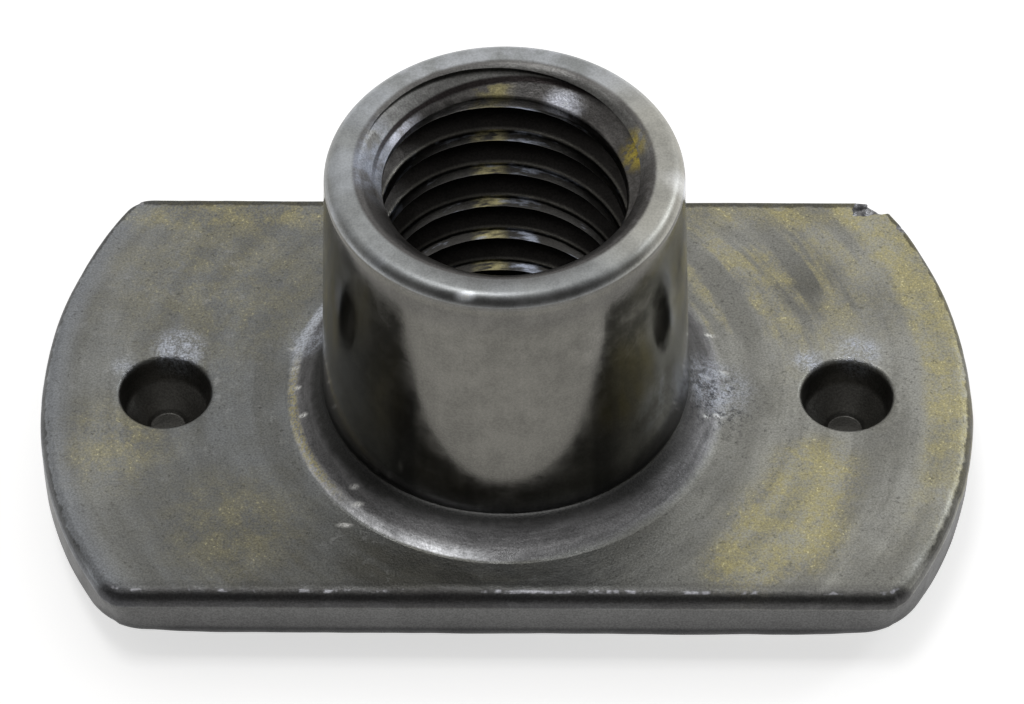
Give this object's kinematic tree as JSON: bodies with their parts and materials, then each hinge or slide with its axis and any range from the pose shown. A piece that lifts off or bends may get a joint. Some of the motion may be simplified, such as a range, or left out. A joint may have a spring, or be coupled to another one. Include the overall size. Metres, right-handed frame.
{
  "type": "weld nut",
  "caption": "Threaded barrel drawn up from a flat-sided plate with domed weld projections, welded to sheet metal so that a bolt can be driven into it.",
  "frame": {"origin": "on the bore's axis, level with the tips of the weld projections", "axes": "+Z along the bore, out of the barrel's mouth; +X along the plate, towards one round end; +Y across the plate, towards one straight edge"},
  "size_m": [0.0318, 0.018, 0.0143],
  "materials": {
    "steel": "plain uncoated steel, satin and lightly oiled, with faint yellow-brown staining"
  },
  "bodies": {
    "root": {"weld_nut": "steel"}
  },
  "joints": []
}
